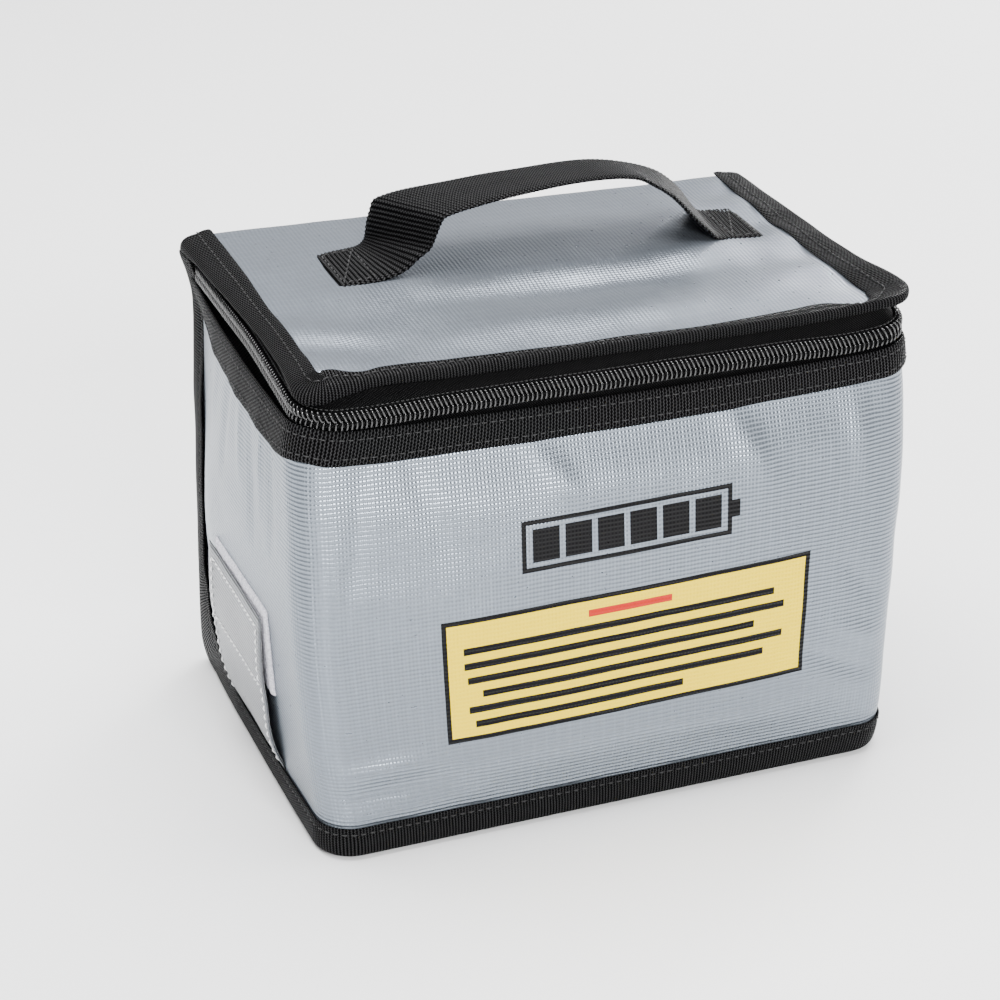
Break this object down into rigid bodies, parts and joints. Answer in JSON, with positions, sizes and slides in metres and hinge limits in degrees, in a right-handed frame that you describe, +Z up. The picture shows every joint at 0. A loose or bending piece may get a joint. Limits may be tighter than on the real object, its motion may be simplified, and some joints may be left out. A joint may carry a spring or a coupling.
{
  "type": "lipo safe bag",
  "caption": "Soft box-shaped fire-resistant battery safe bag with a zipped lid, a webbing handle and a flap-covered cable port.",
  "frame": {"origin": "centre of the underside, on the surface that the bag stands on", "axes": "+Z up, -Y towards the front with the printed panel, +X towards the zip slider's side"},
  "size_m": [0.2278, 0.1459, 0.1928],
  "materials": {
    "silver_fabric": "coated weave",
    "lining_fabric": "matt weave",
    "black_binding": "woven tape",
    "black_webbing": "ribbed weave",
    "zip_tape": "fine twill",
    "zip_nylon": "semi-gloss",
    "white_loop": "brushed loops",
    "grey_hook": "hooked pile",
    "zip_metal": "black enamel"
  },
  "bodies": {
    "bag": {"outer_wrap": "silver_fabric", "wrap_lining": "lining_fabric", "back_panel": "silver_fabric", "back_lining": "lining_fabric", "base_panel": "silver_fabric", "base_lining": "lining_fabric", "seam_binding": "black_binding", "rim_band": "black_webbing", "zip_tape_lower": "zip_tape", "zip_coil_lower": "zip_nylon", "port_loop_pad": "white_loop"},
    "lid": {"lid_panel": "silver_fabric", "lid_lining": "lining_fabric", "lid_binding": "black_binding", "zip_tape_upper": "zip_tape", "zip_coil_upper": "zip_nylon", "handle_end_left": "black_webbing", "handle_end_right": "black_webbing"},
    "handle": {"handle_strap": "black_webbing"},
    "port_flap": {"port_flap": "silver_fabric", "port_flap_backing": "lining_fabric", "port_hook_tape": "grey_hook"},
    "zip_slider": {"zip_slider": "zip_metal"},
    "zip_pull": {"zip_pull": "zip_metal"}
  },
  "joints": [
    {"name": "lid_hinge", "type": "hinge", "parent": "bag", "child": "lid", "pos_m": [0, 0.0713, 0.163], "axis": [-1, 0, 0], "range_deg": [0, 175]},
    {"name": "handle_swing", "type": "hinge", "parent": "lid", "child": "handle", "pos_m": [0, 0.023, 0.1695], "axis": [1, 0, 0], "range_deg": [-20, 40], "stiffness_Nm_per_rad": 0.02},
    {"name": "port_flap_hinge", "type": "hinge", "parent": "bag", "child": "port_flap", "pos_m": [-0.1052, 0, 0.0118], "axis": [0, -1, 0], "range_deg": [0, 90]},
    {"name": "slider_travel", "type": "slide", "parent": "bag", "child": "zip_slider", "axis": [0, -1, 0], "range_m": [0, 0.095]},
    {"name": "pull_swing", "type": "hinge", "parent": "zip_slider", "child": "zip_pull", "pos_m": [0.1131, 0.054, 0.157], "axis": [0, 0, 1], "range_deg": [0, 180]}
  ]
}
